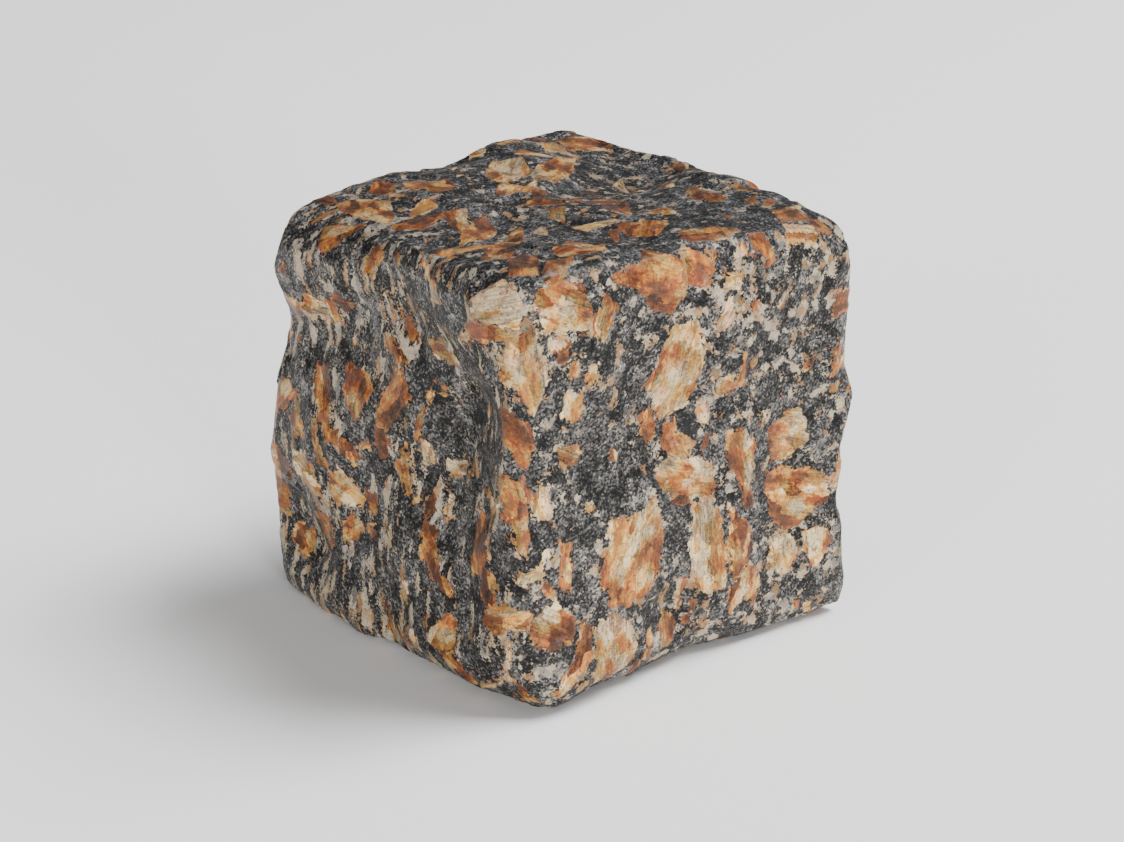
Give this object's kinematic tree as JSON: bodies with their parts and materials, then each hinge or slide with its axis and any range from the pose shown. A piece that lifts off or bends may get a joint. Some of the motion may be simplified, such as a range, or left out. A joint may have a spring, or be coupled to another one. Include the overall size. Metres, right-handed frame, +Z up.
{
  "type": "granite cobblestone",
  "caption": "Rough cube-shaped granite sett with worn arrises, a humped top and hammer-dressed sides, for paving or as a loose stone; rests on its flat bed.",
  "frame": {"origin": "middle of the bed, at the centre of the stone's outline in plan", "axes": "+Z up, -Y towards the front side, -X towards the left side"},
  "size_m": [0.1072, 0.1052, 0.1038],
  "materials": {
    "granite": "rough, hammer-dressed split faces of coarse granite, with orange and cream feldspar crystals in a black and grey matrix"
  },
  "bodies": {
    "root": {"cobblestone": "granite"}
  },
  "joints": []
}
